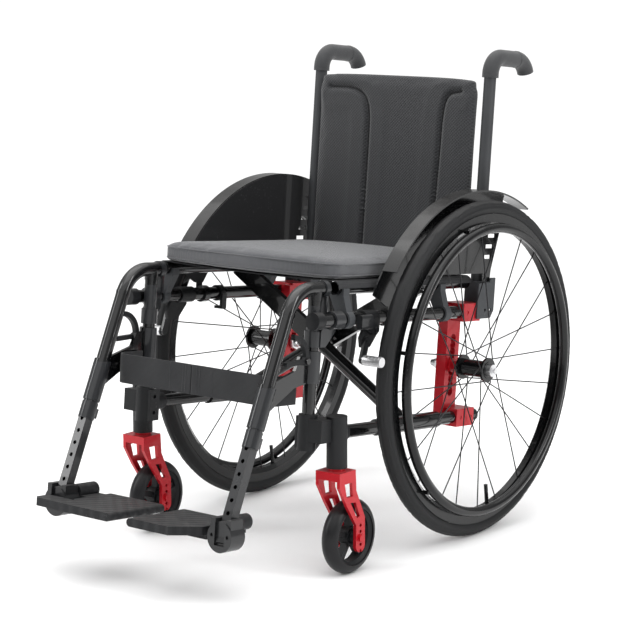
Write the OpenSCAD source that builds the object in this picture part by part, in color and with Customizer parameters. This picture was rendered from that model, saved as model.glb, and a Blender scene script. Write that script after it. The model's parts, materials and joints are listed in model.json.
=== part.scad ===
// Folding manual wheelchair: two side frames joined by a cross-brace, swing-away legrests,
// quick-release rear wheels and swivelling casters.
// The chair faces -Y, +X is the occupant's left, and Z = 0 is the ground.

/* [Overall] */
// Distance between the centre lines of the two side frames
frame_w = 408; // [380:1:470]
// Outside diameter of the rear tyres
wheel_d = 600; // [560:1:660]
// Backward lean of the frame, seat and back, in degrees
frame_tilt = 5.5; // [2:0.5:8]
// Height of the seat rails over the rear axle
seat_h = 148; // [142:1:175]

/* [Side frame] */
// Outside diameter of the upper tube and the lower rail
tube_d = 23; // [20:1:28]
// Wall of the frame's tubes
tube_wall = 2; // [1.5:0.5:3]
// Height of the upper tube over the rear axle
upper_h = 97; // [90:1:104]
// Depth of the lower rail under the rear axle
lower_h = 92; // [80:1:100]
// Reach of the upper tube ahead of the rear axle
upper_front = 425; // [415:1:460]
// Reach of both tubes behind the rear axle
tube_rear = 60; // [55:1:90]
// Diameter of the front post
post_d = 22; // [18:1:24]
// Distance of the front post ahead of the rear axle
post_y = 400; // [390:1:420]
// Thickness of the red axle column
column_t = 20; // [14:1:26]
// Pitch of the axle column's holes
hole_pitch = 12; // [10:1:14]

/* [Seat and brace] */
// Diameter of the seat rails
rail_d = 22; // [20:1:26]
// How far each seat rail stands inboard of its side frame
rail_inset = 16; // [12:1:20]
// Diameter of the brace's lower tubes
brace_d = 25; // [20:1:28]
// Distance of the rear brace arm ahead of the rear axle
brace_y = 115; // [105:1:130]
// Distance between the planes of the two brace arms
brace_step = 37; // [34:1:45]
// Thickness of the seat cushion
cushion_t = 28; // [20:1:50]

/* [Backrest] */
// Diameter of the backrest canes
cane_d = 22; // [18:1:25]
// Height of the canes over the rear axle
cane_h = 530; // [480:1:600]
// Distance of the canes behind the rear axle
cane_y = 64; // [62:1:76]
// Thickness of the back upholstery
back_t = 22; // [14:1:30]
// Outside diameter of the push grips
grip_d = 30; // [28:1:36]

/* [Rear wheels] */
// Distance from the side frame to the wheel's centre plane
wheel_gap = 45; // [43:1:60]
// Width of the rear tyre
tyre_w = 29; // [25:1:32]
// Spokes in a wheel
spokes = 24; // [20:4:36]
// Diameter of the handrim, measured on its centre line
handrim_d = 505; // [480:1:515]
// Diameter of the handrim's tube
handrim_tube = 17; // [15:1:20]
// Diameter of the quick-release axle
axle_d = 12; // [10:0.5:13]

/* [Casters] */
// Diameter of the caster wheels
caster_d = 128; // [110:1:140]
// Width of the caster tyre
caster_w = 32; // [24:1:34]
// Trail of the caster's axle behind its swivel axis
trail = 33; // [25:1:38]
// Distance of the swivel axis ahead of the rear axle
stem_y = 373; // [365:1:380]
// Distance of the swivel axis outboard of the side frame
stem_gap = 13; // [10:1:20]

/* [Legrests] */
// Diameter of the hanger tube
hanger_d = 24; // [22:1:26]
// Angle between the front post and the hanger's lower leg, in degrees
hanger_angle = 20; // [15:1:25]
// Depth of the footplates' tread under the rear axle
plate_drop = 231; // [215:1:242]
// Gap between each footplate and the chair's middle
plate_gap = 18.5; // [18.5:0.5:30]
// Front to back size of a footplate
plate_w = 134; // [110:1:140]

/* [Hidden] */
$fn = 48;
// Clearance between pieces that rest on each other, and between a shaft and its bore
rest_gap = 0.3;
run_fit = 0.05;
SIDED = ["upper_tube", "lower_rail", "front_post", "caster_housing", "axle_column", "back_bracket",
         "backrest_cane", "push_grip", "side_guard", "tube_fittings", "brake_mount", "brake_lever",
         "brake_shoe", "caster_fork", "caster_tyre", "caster_core", "wheel_tyre", "wheel_rim",
         "wheel_spokes", "wheel_hub", "handrim", "axle_button", "hanger", "release_lever",
         "legrest_tube", "footplate", "calf_strap"];
CENTRAL = ["brace_rear", "brace_front", "brace_pivot", "seat_sling", "seat_cushion", "back_upholstery"];

// Places on the frame, measured from the middle of the rear axle
wheel_r = wheel_d / 2;
side_x = frame_w / 2;
tube_r = tube_d / 2;
side_in = side_x - tube_r;
side_out = side_x + tube_r;
rail_x = side_x - rail_inset;
post_x = side_in - post_d / 2 - 2 * rest_gap;
wheel_x = side_x + wheel_gap;
stem_x = side_x + stem_gap;
cane_x = rail_x + 3;
housing_r = 17.5;
rail_start = stem_y - housing_r;

// Legrest places
bend_r = 60;
hanger_h = 147;
corner_y = post_y + 56;
pin_drop = plate_drop - 5;
leg_l = (hanger_h + pin_drop) / cos(hanger_angle);
pin_y = corner_y + leg_l * sin(hanger_angle);
pin_x = post_x - 12;
plate_t = 14;
plate_front = pin_y + 60;

// The rear axle stands so that the whole chair is centred on Y = 0
reach = plate_front * cos(frame_tilt) + (plate_drop + plate_t) * sin(frame_tilt);
axle_y = (reach - wheel_r) / 2;

// The brace arms cross over the middle, from the lower rails up to the opposite seat rails
brace_angle = atan((seat_h + lower_h) / (side_x + rail_x));
brace_low = side_x / cos(brace_angle);
brace_high = rail_x / cos(brace_angle);
brace_mid = side_x * tan(brace_angle) - lower_h;

module on_side(side) mirror([side == "right" ? 1 : 0, 0, 0]) children();
module at_axle() translate([0, axle_y, wheel_r]) children();
module on_frame() at_axle() rotate([-frame_tilt, 0, 0]) children();
// Down the hanger's lower leg, whose top corner is the origin and which runs along -Z
module on_leg() on_frame() translate([post_x, -corner_y, hanger_h]) rotate([-hanger_angle, 0, 0]) children();
// Cylinders along X and along Y, between two places
module bar_x(d, x0, x1) translate([x0, 0, 0]) rotate([0, 90, 0]) cylinder(d = d, h = x1 - x0);
module bar_y(d, y0, y1) translate([0, y0, 0]) rotate([-90, 0, 0]) cylinder(d = d, h = y1 - y0);
module block(low, high) translate(low) cube(high - low);
// An outline in Y and Z, given thickness along X, and one in X and Z, given thickness along Y
module slab_x(x0, x1) translate([x0, 0, 0]) rotate([90, 0, 90]) linear_extrude(x1 - x0) children();
module slab_y(y0, y1) translate([0, y1, 0]) rotate([90, 0, 0]) linear_extrude(y1 - y0) children();
// Part of a ring in the Y-Z plane, between two angles that start at +Y and turn towards +Z
module ring_x(r, a0, a1) rotate([90, 0, 90]) rotate([0, 0, a0]) rotate_extrude(angle = a1 - a0)
    translate([r, 0]) children();
// A whole ring about the X axis, from an outline in radius and X
module wheel_ring() rotate([0, 90, 0]) rotate_extrude() children();
// A flat bar with round ends between two points of an outline. The ends bulge by a hair.
module link2d(p, q, w) {
    v = q - p;
    bar = w - 0.2;
    translate(p) circle(d = w);
    translate(q) circle(d = w);
    translate(p) rotate(atan2(v[1], v[0])) translate([0, -bar / 2]) square([norm(v), bar]);
}
module rod(p, q, d) {
    v = q - p;
    translate(p) rotate([0, acos(v[2] / norm(v)), atan2(v[1], v[0])]) cylinder(d = d, h = norm(v), $fn = 16);
}

// Side frame

module upper_tube() color("#17181a") on_frame() translate([side_x, 0, upper_h]) difference() {
    bar_y(tube_d, -upper_front, tube_rear);
    bar_y(tube_d - 2 * tube_wall, -upper_front - 1, tube_rear + 1);
}

// The last 60 mm of the lower rail is bored out to take the arm of an anti-tip wheel
socket_l = 60;
module lower_rail() color("#17181a") on_frame() translate([side_x, 0, -lower_h]) difference() {
    bar_y(tube_d, -rail_start + 4, tube_rear);
    bar_y(tube_d - 2 * tube_wall - 1, -rail_start - 1, tube_rear + 1);
    bar_y(tube_d - 2 * tube_wall, tube_rear - socket_l, tube_rear + 1);
}

post_low = lower_h + 26;
post_top = 128;
post_bore = 16;
bore_depth = 46;
corner_low = 52;
corner_rear = 344;
// The front post carries the corner bracket that grips the upper tube
module front_post() on_frame() {
    color("#1b1c1e") difference() {
        translate([post_x, -post_y, -post_low]) cylinder(d = post_d, h = post_low + post_top);
        translate([post_x, -post_y, post_top - bore_depth]) cylinder(d = post_bore, h = bore_depth + 1);
    }
    color("#3c3e42") difference() {
        union() {
            translate([post_x, -post_y, corner_low]) cylinder(d = post_d + 7, h = 26);
            translate([side_x, 0, upper_h]) bar_y(tube_d + 7, -post_y + 14, -corner_rear - 17);
            slab_x(side_in - 3, side_in + 5) polygon([[-post_y, corner_low], [-post_y, corner_low + 26],
                [-post_y + 14, upper_h], [-corner_rear - 17, upper_h], [-corner_rear - 17, upper_h - 20],
                [-post_y + 14, corner_low]]);
        }
        translate([post_x, -post_y, 0]) cylinder(d = post_d + 2 * run_fit, h = post_top);
        translate([side_x, 0, upper_h]) bar_y(tube_d + 2 * run_fit, -post_y, 0);
    }
}

// The caster housing holds the post, the lower rail and the upright swivel bearing
housing_low = 188;
housing_top = 275;
stem_d = 12;
clamp_top = 58;
module caster_housing() color("#2b2d30") difference() {
    union() {
        translate([stem_x, axle_y - stem_y, housing_low]) cylinder(r = housing_r, h = housing_top - housing_low);
        on_frame() {
            translate([side_x, 0, -lower_h]) bar_y(tube_d + 7, -stem_y + 4, -rail_start + 24);
            translate([post_x, -post_y, -post_low - 2]) cylinder(d = post_d + 10, h = post_low - clamp_top);
            block([post_x - 19, -post_y - 8, -post_low], [post_x - 8, -post_y + 17, -clamp_top - 6]);
            block([post_x, -post_y - 12, -post_low + 14], [stem_x + 2, -post_y + 33, -clamp_top - 8]);
        }
    }
    translate([stem_x, axle_y - stem_y, housing_low - 1])
        cylinder(d = stem_d + 2 * run_fit, h = housing_top - housing_low - 8);
    on_frame() {
        translate([side_x, 0, -lower_h]) bar_y(tube_d + 2 * run_fit, -rail_start + 4 - rest_gap, 0);
        translate([post_x, -post_y, -post_low - rest_gap]) cylinder(d = post_d + 2 * run_fit, h = post_low);
        for (z = [14, 42]) translate([0, -post_y + 4, -post_low + z]) bar_x(7, post_x - 20, post_x - 15);
    }
}

// Red column between the two tubes. Its overlapping axle holes make a scalloped slot.
column_out = side_in - 1.5;
column_in = column_out - column_t;
column_w = 40;
clamp_y0 = -12;
clamp_y1 = 42;
clamp_h = 32;
clamp_out = side_out + 2;
sleeve_d = 16;
hub_in = wheel_x - 36;
hub_out = wheel_x + 22;
axle_end = hub_out + 9;
module axle_column() {
    color("#c41e2b") on_frame() difference() {
        union() {
            block([column_in, -column_w / 2, -lower_h - 12], [column_out, column_w / 2, upper_h + 12]);
            for (z = [-lower_h, upper_h])
                block([column_in, clamp_y0, z - clamp_h / 2], [clamp_out, clamp_y1, z + clamp_h / 2]);
        }
        for (z = [-lower_h, upper_h]) {
            translate([side_x, 0, z]) bar_y(tube_d + 2 * run_fit, clamp_y0 - 1, clamp_y1 + 1);
            for (y = [clamp_y0 + 13, clamp_y1 - 9])
                translate([0, y, z]) bar_x(7, side_out + 0.8, clamp_out + 1);
        }
        for (i = [-4 : 4]) translate([0, 0, i * hole_pitch])
            bar_x(sleeve_d + 2 * run_fit, column_in - 1, column_out + 1);
    }
    color("silver") at_axle() {
        difference() {
            union() {
                bar_x(sleeve_d, column_in - 16, hub_in - rest_gap);
                bar_x(26, column_out + rest_gap, column_out + 5);
                translate([column_in - 9, 0, 0]) rotate([0, 90, 0]) cylinder(d = 26, h = 9 - rest_gap, $fn = 6);
            }
            bar_x(axle_d + 2 * run_fit, column_in - 20, hub_in);
        }
        difference() {
            union() {
                bar_x(axle_d, column_in - 22, axle_end);
                bar_x(axle_d + 10, hub_out + rest_gap, axle_end);
            }
            bar_x(button_d + 2 * run_fit, axle_end - 12, axle_end + 1);
        }
    }
}

button_d = 7;
button_out = 4.5;
module axle_button() color("silver") at_axle() {
    bar_x(button_d, axle_end - 7, axle_end + button_out);
    translate([axle_end + button_out - 1, 0, 0]) bar_x(button_d + 3, 0, 2);
}

// Grey bracket between the rear end of the upper tube and the backrest cane
bracket_h = 150;
bracket_out = clamp_out + rest_gap + 3;
cane_low = upper_h + tube_r + 9;
module back_bracket() color("#5b5e62") on_frame() difference() {
    union() {
        slab_x(bracket_out - 3, bracket_out) polygon([[27, upper_h - 12], [70, upper_h - 12],
            [80, upper_h + 2], [80, bracket_h + 8], [66, bracket_h + 8], [62, bracket_h], [27, bracket_h - 2]]);
        translate([side_x, 0, upper_h]) bar_y(tube_d + 7, clamp_y1 + 1, tube_rear - 1);
        block([side_x, clamp_y1 + 1, upper_h - 6], [bracket_out - 1, tube_rear - 1, upper_h + 20]);
        block([cane_x - cane_d / 2 - 4, cane_y - 15, upper_h + tube_r + 3.5],
              [bracket_out - 1, cane_y + 15, bracket_h]);
    }
    translate([side_x, 0, upper_h]) bar_y(tube_d + 2 * run_fit, 0, tube_rear + 20);
    translate([cane_x, cane_y, cane_low - rest_gap]) cylinder(d = cane_d + 2 * run_fit, h = bracket_h);
    for (y = [cane_y - 12, cane_y + 5]) translate([0, y, upper_h + 3]) bar_x(6, bracket_out - 4, bracket_out + 1);
}

module backrest_cane() color("#26282b") on_frame() translate([cane_x, cane_y, cane_low]) difference() {
    cylinder(d = cane_d, h = cane_h - cane_low);
    translate([0, 0, -1]) cylinder(d = cane_d - 2 * tube_wall, h = cane_h - cane_low + 2);
}

// The push grip arches backwards over the cane and droops at its end
arch_r = 30;
droop_r = 38;
grip_flat = 52;
grip_low = 7;
module push_grip() color("#2a2b2d") on_frame() translate([cane_x, cane_y, cane_h - grip_low]) difference() {
    union() {
        translate([0, arch_r, 0]) ring_x(arch_r, 90, 180) circle(d = grip_d);
        translate([0, 0, arch_r]) bar_y(grip_d, arch_r, arch_r + grip_flat - 1);
        translate([0, 0, arch_r]) bar_y(grip_d + 1, arch_r + grip_flat - 4, arch_r + grip_flat + 2);
        translate([0, arch_r + grip_flat, arch_r - droop_r]) ring_x(droop_r, 25, 90) circle(d = grip_d);
        translate([0, 0, -grip_low]) cylinder(d = grip_d, h = grip_low);
    }
    translate([0, 0, -grip_low - 1]) cylinder(d = cane_d + 2 * run_fit, h = 2 * grip_low + 1 + rest_gap);
}

// Side guard: an upright panel with a fender that follows the tyre
guard_in = side_x + 8;
guard_t = 3;
guard_low = 166;
fender_r = wheel_r + 14;
fender_w = 30;
foot_y = -240;
module side_guard() color("#1d1e20") on_frame() {
    slab_x(guard_in, guard_in + guard_t) difference() {
        intersection() {
            circle(r = fender_r + guard_t / 2, $fn = 96);
            polygon([[cane_y - 12, bracket_h + 2 * rest_gap], [cane_y + 5, bracket_h + 2 * rest_gap],
                [cane_y + 7, guard_low + 6], [cane_y + 29, 244], [cane_y + 34, 320], [-330, 320], [-330, 160],
                [foot_y - 6, upper_h + tube_r + 8], [foot_y + 16, upper_h + tube_r + 8],
                [foot_y + 50, guard_low], [cane_y - 12, guard_low]]);
        }
        for (i = [0 : 4]) translate([cane_y - 20 + i * 5.5, guard_low + 26 + i * 19]) square([24, 7]);
    }
    ring_x(fender_r, 64, 146) translate([0, guard_in + guard_t / 2]) square([guard_t, fender_w]);
    translate([side_x, 0, upper_h]) difference() {
        union() {
            bar_y(tube_d + 7, foot_y, foot_y + 14);
            block([guard_in - side_x, foot_y, 8.5], [guard_in + guard_t - side_x, foot_y + 14, tube_r + 12]);
        }
        bar_y(tube_d + 2 * run_fit, foot_y - 1, foot_y + 15);
    }
}

// Rubber caps, the two saddles that the seat rail rests in, and a cable clip
saddle_l = 16;
saddle_y = [-344, -60];
clip_y = -196;
module saddle() difference() {
    union() {
        slab_y(-saddle_l / 2, saddle_l / 2) polygon([[side_x - 13, upper_h + 4], [side_x + 10, upper_h + 4],
            [rail_x + rail_d / 2 + 4, seat_h - 12], [rail_x + rail_d / 2 + 4, seat_h],
            [rail_x - rail_d / 2 - 4, seat_h], [rail_x - rail_d / 2 - 4, seat_h - 12]]);
        translate([side_x, 0, upper_h]) bar_y(tube_d + 7, -saddle_l / 2, saddle_l / 2);
    }
    translate([side_x, 0, upper_h]) bar_y(tube_d + 2 * run_fit, -saddle_l, saddle_l);
    translate([rail_x, 0, seat_h]) bar_y(rail_d + 2 * rest_gap, -saddle_l, saddle_l);
}
module tube_fittings() on_frame() {
    color("#1f2022") translate([side_x, 0, upper_h]) {
        difference() {
            bar_y(tube_d + 6, -upper_front - 9, -post_y - post_d / 2 - 3);
            bar_y(tube_d + 2 * run_fit, -upper_front - rest_gap, -post_y + 20);
        }
        translate([0, tube_rear + rest_gap, 0]) bar_y(tube_d, 0, 4);
        difference() {
            union() {
                bar_y(tube_d + 6, clip_y, clip_y + 12);
                block([-tube_r - 5, clip_y, -28], [-tube_r + 1, clip_y + 12, 0]);
                block([-tube_r - 5, clip_y, -28], [2, clip_y + 12, -23]);
            }
            bar_y(tube_d + 2 * run_fit, clip_y - 1, clip_y + 13);
        }
    }
    color("#6a6d72") for (y = saddle_y) translate([0, y, 0]) saddle();
}

// Wheel lock: a lever turns the shoe's arm towards the tyre
brake_x = side_out + 0.8;
brake_pivot = [-288, 80];
shoe_pivot = [-305, 62];
shoe_at = [-314, 30];
pin_d = 6;
shoe_d = 17;
lever_x = side_out + 3;
module pin_x(at, d, x0, x1) translate([0, at[0], at[1]]) bar_x(d, x0, x1);
module brake_mount() color("#1e1f21") on_frame() difference() {
    union() {
        translate([side_x, 0, upper_h]) bar_y(tube_d + 5, -302, -266);
        slab_x(side_out - 3, lever_x - rest_gap) polygon([[-302, upper_h], [-266, upper_h], [-266, 78], [-290, 50],
            [-314, 50], [-318, 66]]);
        pin_x(brake_pivot, pin_d, side_out, lever_x + 12);
        pin_x(shoe_pivot, pin_d, side_out, lever_x + 6);
        pin_x(brake_pivot, pin_d + 4, lever_x + 9, lever_x + 12);
    }
    translate([side_x, 0, upper_h]) bar_y(tube_d + 2 * run_fit, -320, -250);
}
module brake_lever() color("#34363a") on_frame() difference() {
    union() {
        slab_x(lever_x, lever_x + 8) link2d(brake_pivot, brake_pivot + [-20, 9], 18);
        translate([lever_x + 8, 0, 94]) slab_y(-336, -304) link2d([0, -6], [0, 6], 13);
    }
    pin_x(brake_pivot, pin_d + 2 * run_fit, lever_x - 1, lever_x + 20);
}
module brake_shoe() on_frame() {
    color("#34363a") slab_x(lever_x, lever_x + 5) difference() {
        link2d(shoe_pivot, shoe_at, 14);
        translate(shoe_pivot) circle(d = pin_d + 2 * run_fit);
        translate(brake_pivot) circle(d = 22);
    }
    color("#c9ccd0") pin_x(shoe_at, shoe_d, lever_x + 5, wheel_x + 13);
    color("#c9ccd0") for (i = [0 : 4]) pin_x(shoe_at, shoe_d + 0.8, lever_x + 8 + i * 7, lever_x + 12 + i * 7);
}

// Casters

fork_top = 184;
fork_in = caster_w / 2 + 3;
fork_t = 6;
caster_axle = 8;
module at_caster() translate([stem_x, axle_y - stem_y + trail, caster_d / 2]) children();
module blade2d() difference() {
    union() {
        polygon([[-58, 120], [-14, 120], [-12, 84], [12, 34], [12.5, -12], [-12.5, -12], [-12, 24], [-38, 62],
            [-58, 96]]);
        translate([0, -12]) circle(r = 12.5);
    }
    polygon([[-44, 100], [-24, 100], [-22, 76], [-38, 76]]);
    polygon([[-28, 66], [-14, 64], [-2, 38], [-10, 36]]);
    for (z = [-22, -11, 11, 22]) translate([0, z]) circle(d = 6);
}
// The blades are drawn from the caster's own axle
module caster_fork() {
    color("#c41e2b") at_caster() difference() {
        union() {
            for (s = [-1, 1]) translate([s * (fork_in + fork_t / 2), 0, 0])
                slab_x(-fork_t / 2, fork_t / 2) blade2d();
            block([-fork_in - fork_t, -58, 106], [fork_in + fork_t, -14, 120]);
        }
        bar_x(caster_axle, -40, 40);
    }
    color("silver") translate([stem_x, axle_y - stem_y, caster_d / 2 + 119])
        cylinder(d = stem_d, h = housing_top - 12 - caster_d / 2 - 119);
    color("silver") at_caster() {
        bar_x(caster_axle, -fork_in - fork_t - 3, fork_in + fork_t + 3);
        for (s = [-1, 1]) translate([s * (fork_in + fork_t + 2), 0, 0]) bar_x(13, -2, 2);
    }
    color("#333333") translate([stem_x, axle_y - stem_y, caster_d / 2 + 120 - 0.5])
        cylinder(r = housing_r - 3, h = housing_low - caster_d / 2 - 119.5 - rest_gap);
}
caster_rim = caster_d / 2 - 15;
module caster_tyre() color("#2b2c2e") at_caster() wheel_ring() intersection() {
    translate([caster_d / 2 - 16, 0]) circle(d = caster_w);
    translate([caster_rim, -caster_w]) square([40, 2 * caster_w]);
}
module caster_core() color("#1b1c1e") at_caster() difference() {
    union() {
        wheel_ring() polygon([[caster_rim - 6, -9], [caster_rim, -13], [caster_rim, 13], [caster_rim - 6, 9]]);
        bar_x(26, -fork_in + rest_gap, fork_in - rest_gap);
        bar_x(34, -9, 9);
        for (i = [0 : 4]) rotate([i * 72, 0, 0]) block([-6, -5, 10], [6, 5, caster_rim - 4]);
    }
    bar_x(caster_axle + 2 * run_fit, -40, 40);
}

// Rear wheels

rim_out = wheel_r - 23;
rim_in = rim_out - 23;
rim_w = 24;
flange_r = 22;
spoke_d = 2.2;
valve_d = 7;
valve_l = 36;
module wheel_tyre() color("#262728") at_axle() translate([wheel_x, 0, 0]) wheel_ring() intersection() {
    translate([wheel_r - tyre_w / 2, 0]) circle(d = tyre_w);
    translate([rim_out, -tyre_w]) square([40, 2 * tyre_w]);
}
module wheel_rim() color("#1a1b1d") at_axle() translate([wheel_x, 0, 0]) {
    wheel_ring() difference() {
        polygon([[rim_in, -6], [rim_in + 8, -rim_w / 2], [rim_out, -rim_w / 2],
            [rim_out, rim_w / 2], [rim_in + 8, rim_w / 2], [rim_in, 6]]);
        translate([rim_in + 8, -rim_w / 2 + 3]) square([rim_out, rim_w - 6]);
    }
    rotate([180 / spokes, 0, 0]) translate([0, 0, -rim_in - 1]) cylinder(d = valve_d, h = valve_l);
}
module wheel_spokes() color("#2a2a2a") at_axle() for (i = [0 : spokes - 1]) {
    out = i % 2 == 0 ? 1 : -1;
    side = i % 4 < 2 ? 1 : -1;
    a = 360 * i / spokes;
    lean = a + side * 52;
    flange_x = (out > 0 ? hub_out - 3 : hub_in + 3) + side * 1.6;
    rod([flange_x, (flange_r + 1.2) * cos(lean), (flange_r + 1.2) * sin(lean)],
        [wheel_x + out * 3 + side * 1.6, (rim_in - 0.6) * cos(a), (rim_in - 0.6) * sin(a)], spoke_d);
}
module wheel_hub() color("#1b1c1e") at_axle() difference() {
    union() {
        bar_x(2 * flange_r, hub_in + 1, hub_in + 5);
        bar_x(2 * flange_r, hub_out - 5, hub_out - 1);
        bar_x(30, hub_in, hub_out);
    }
    bar_x(axle_d + 2 * run_fit, hub_in - 1, hub_out + 1);
}
handrim_x = wheel_x + 22.8;
tabs = 6;
module handrim() color("#2a2b2d") at_axle() {
    translate([handrim_x, 0, 0]) wheel_ring() translate([handrim_d / 2, 0]) circle(d = handrim_tube);
    for (i = [0 : tabs - 1]) rotate([i * 360 / tabs + 15, 0, 0]) translate([0, 0, rim_in + 8])
        bar_x(7, wheel_x + rim_w / 2 + rest_gap, handrim_x + 1);
}

// Seat, brace and back

rail_front = 360;
rail_back = 30;
boss_d = 34;
boss_l = brace_step - 2 * rest_gap;
bolt_d = 10;
plate_h = 34;
// One arm of the brace. It runs from the lower rail on the -X side to the seat rail on the +X side.
module brace_arm(y, sleeve0, sleeve1) color("#1a1b1d") on_frame() difference() {
    union() {
        translate([-side_x, 0, -lower_h]) bar_y(tube_d + 6, sleeve0, sleeve1);
        translate([rail_x, 0, seat_h]) bar_y(rail_d, -rail_front, rail_back);
        translate([-side_x, y, -lower_h]) rotate([0, 90 - brace_angle, 0]) cylinder(d = brace_d, h = brace_low + 20);
        translate([0, y, brace_mid]) rotate([0, -brace_angle, 0])
            block([0, -6, -plate_h / 2], [brace_high, 6, plate_h / 2]);
        translate([0, 0, brace_mid]) bar_y(boss_d, y - boss_l / 2, y + boss_l / 2);
    }
    translate([-side_x, 0, -lower_h]) bar_y(tube_d + 2 * run_fit, sleeve0 - 1, sleeve1 + 1);
    translate([rail_x, 0, seat_h]) bar_y(rail_d - 2 * tube_wall, -rail_front - 1, rail_back + 1);
    translate([0, 0, brace_mid]) bar_y(bolt_d + 2 * run_fit, y - brace_step, y + brace_step);
    // The seat sling rests on top of the rail
    block([rail_x - 30, y - 10, seat_h + rail_d / 2], [rail_x + 30, y + 10, seat_h + 40]);
}
module brace_rear() brace_arm(-brace_y, -204, -50);
module brace_front() mirror([1, 0, 0]) brace_arm(-brace_y - brace_step, -240, -60);
module brace_pivot() color("silver") on_frame() translate([0, 0, brace_mid]) {
    bolt0 = -brace_y - brace_step - boss_l / 2 - rest_gap;
    bolt1 = -brace_y + boss_l / 2 + rest_gap;
    bar_y(bolt_d, bolt0 - 1, bolt1 + 1);
    translate([0, bolt0 - 5, 0]) bar_y(18, 0, 5);
    translate([0, bolt1, 0]) rotate([-90, 0, 0]) cylinder(d = 19, h = 8, $fn = 6);
}

sling_low = seat_h + rail_d / 2 + rest_gap;
sling_t = 2.7;
seat_back = 36;
module seat_sling() color("#1c1d1f") on_frame()
    block([-rail_x - rail_d / 2, -rail_front - 2, sling_low], [rail_x + rail_d / 2, seat_back - 3, sling_low + sling_t]);

// The cushion's front edge is a wide arc
cushion_x = rail_x + 7;
cushion_front = 390;
front_r = 900;
module seat_cushion() color("#55575b") on_frame() translate([0, 0, sling_low + sling_t + rest_gap])
    linear_extrude(cushion_t) intersection() {
        translate([-cushion_x, -cushion_front]) square([2 * cushion_x, cushion_front + seat_back]);
        translate([0, front_r - cushion_front]) circle(r = front_r, $fn = 160);
    }

back_low = sling_low;
module back_upholstery() color("#2e2f32") on_frame() {
    w = cane_x - cane_d / 2 - rest_gap;
    shoulder = cane_h - 2 * grip_low - 6;
    top = cane_h - 10;
    slab_y(cane_y - 2 - back_t, cane_y - 2) polygon([[-w, back_low], [w, back_low], [w, shoulder],
        [w - 6, shoulder + 6], [w - 6, top], [6 - w, top], [6 - w, shoulder + 6], [-w, shoulder]]);
}

// Legrests

sleeve_top = 164;
sleeve_end = 236;
collar_end = 268;
leg_w = 18;
web_t = 6;
latch_top = 45;
lever_axis = [-post_y - 26, 30];
strap_y = 425;
strap_z = -19;
strap_t = 2.5;
lug = 8.5;
bend_t = bend_r * tan(45 - hanger_angle / 2);
module hanger() {
    color("#17181a") on_frame() translate([post_x, 0, 0]) {
        translate([0, 0, hanger_h]) bar_y(hanger_d, -corner_y + bend_t, -post_y + 22);
        translate([0, -corner_y + bend_t, hanger_h - bend_r])
            ring_x(bend_r, 90, 180 - hanger_angle) circle(d = hanger_d);
        translate([0, -post_y, post_top - bore_depth + 6])
            cylinder(d = post_bore - 2 * run_fit, h = hanger_h - post_top + bore_depth - 6);
        translate([0, -post_y, post_top + rest_gap]) cylinder(d = post_d + 2, h = hanger_h - post_top);
    }
    color("#4c4f53") on_frame() {
        translate([post_x, 0, hanger_h]) bar_y(hanger_d + 4, -post_y + 14, -post_y + 25);
        block([post_x - 8, -post_y + 21, hanger_h - 42], [post_x + 8, -post_y + 25, hanger_h]);
    }
    difference() {
        union() {
            color("#5b5e62") on_frame() {
                translate([post_x, -post_y, -8]) cylinder(d = post_d + 10, h = latch_top + 8);
                slab_x(post_x - web_t / 2, post_x + web_t / 2) polygon([[-post_y, latch_top - 4], [-post_y, -6],
                    [-post_y - 45, -14], [-corner_y - 76, -62], [-corner_y - 58, -6], [-post_y - 45, 14],
                    [-post_y - 34, latch_top - 8]]);
                translate([0, -corner_y - 24, strap_z]) bar_x(14, post_x - lug, post_x);
                pin_x(lever_axis, pin_d, post_x, post_x + web_t / 2 + 12);
                pin_x(lever_axis, pin_d + 4, post_x + web_t / 2 + 9, post_x + web_t / 2 + 12);
            }
            color("#17181a") on_leg() {
                translate([0, 0, -sleeve_top - 2]) cylinder(d = hanger_d, h = sleeve_top + 1 - bend_t);
                translate([0, 0, -bend_t - 3]) cylinder(d = hanger_d + 1, h = 6);
                translate([0, 0, -sleeve_end]) cylinder(d = hanger_d + 6, h = sleeve_end - sleeve_top);
                translate([0, 0, -collar_end]) cylinder(d = hanger_d + 4, h = collar_end - sleeve_end - 3);
                translate([0, 0, -collar_end + 4]) cylinder(d = hanger_d + 1, h = 32);
                block([-5, 8, -collar_end + 5], [5, 20, -collar_end + 22]);
            }
        }
        on_leg() block([-leg_w / 2 - run_fit, -leg_w / 2 - run_fit, -collar_end - 1],
            [leg_w / 2 + run_fit, leg_w / 2 + run_fit, -sleeve_top]);
        on_frame() {
            translate([post_x, -post_y, -20]) cylinder(d = post_d + 2 * run_fit, h = 80);
            block([post_x - 30, -post_y + 5, -20], [post_x + 30, -post_y + 40, 80]);
        }
    }
}

// The release lever turns on a pin on the outer side of the latch
lever_in = web_t / 2 + rest_gap;
fin_r = 42;
module release_lever() color("#2c2e31") on_frame() translate([post_x, 0, 0])
    slab_x(lever_in, lever_in + 8) difference() {
        union() {
            translate(lever_axis + [6 - fin_r, 3]) difference() {
                circle(r = fin_r);
                circle(r = fin_r - 9);
                translate([-fin_r - 1, -fin_r - 1]) square([2 * fin_r + 2, fin_r + 1]);
                translate([-fin_r - 1, -1]) square([fin_r + 1, fin_r + 2]);
            }
            link2d(lever_axis + [-50, -3], lever_axis, 8);
            translate(lever_axis) circle(d = 15);
        }
        translate(lever_axis) circle(d = pin_d + 2 * run_fit);
    }

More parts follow.
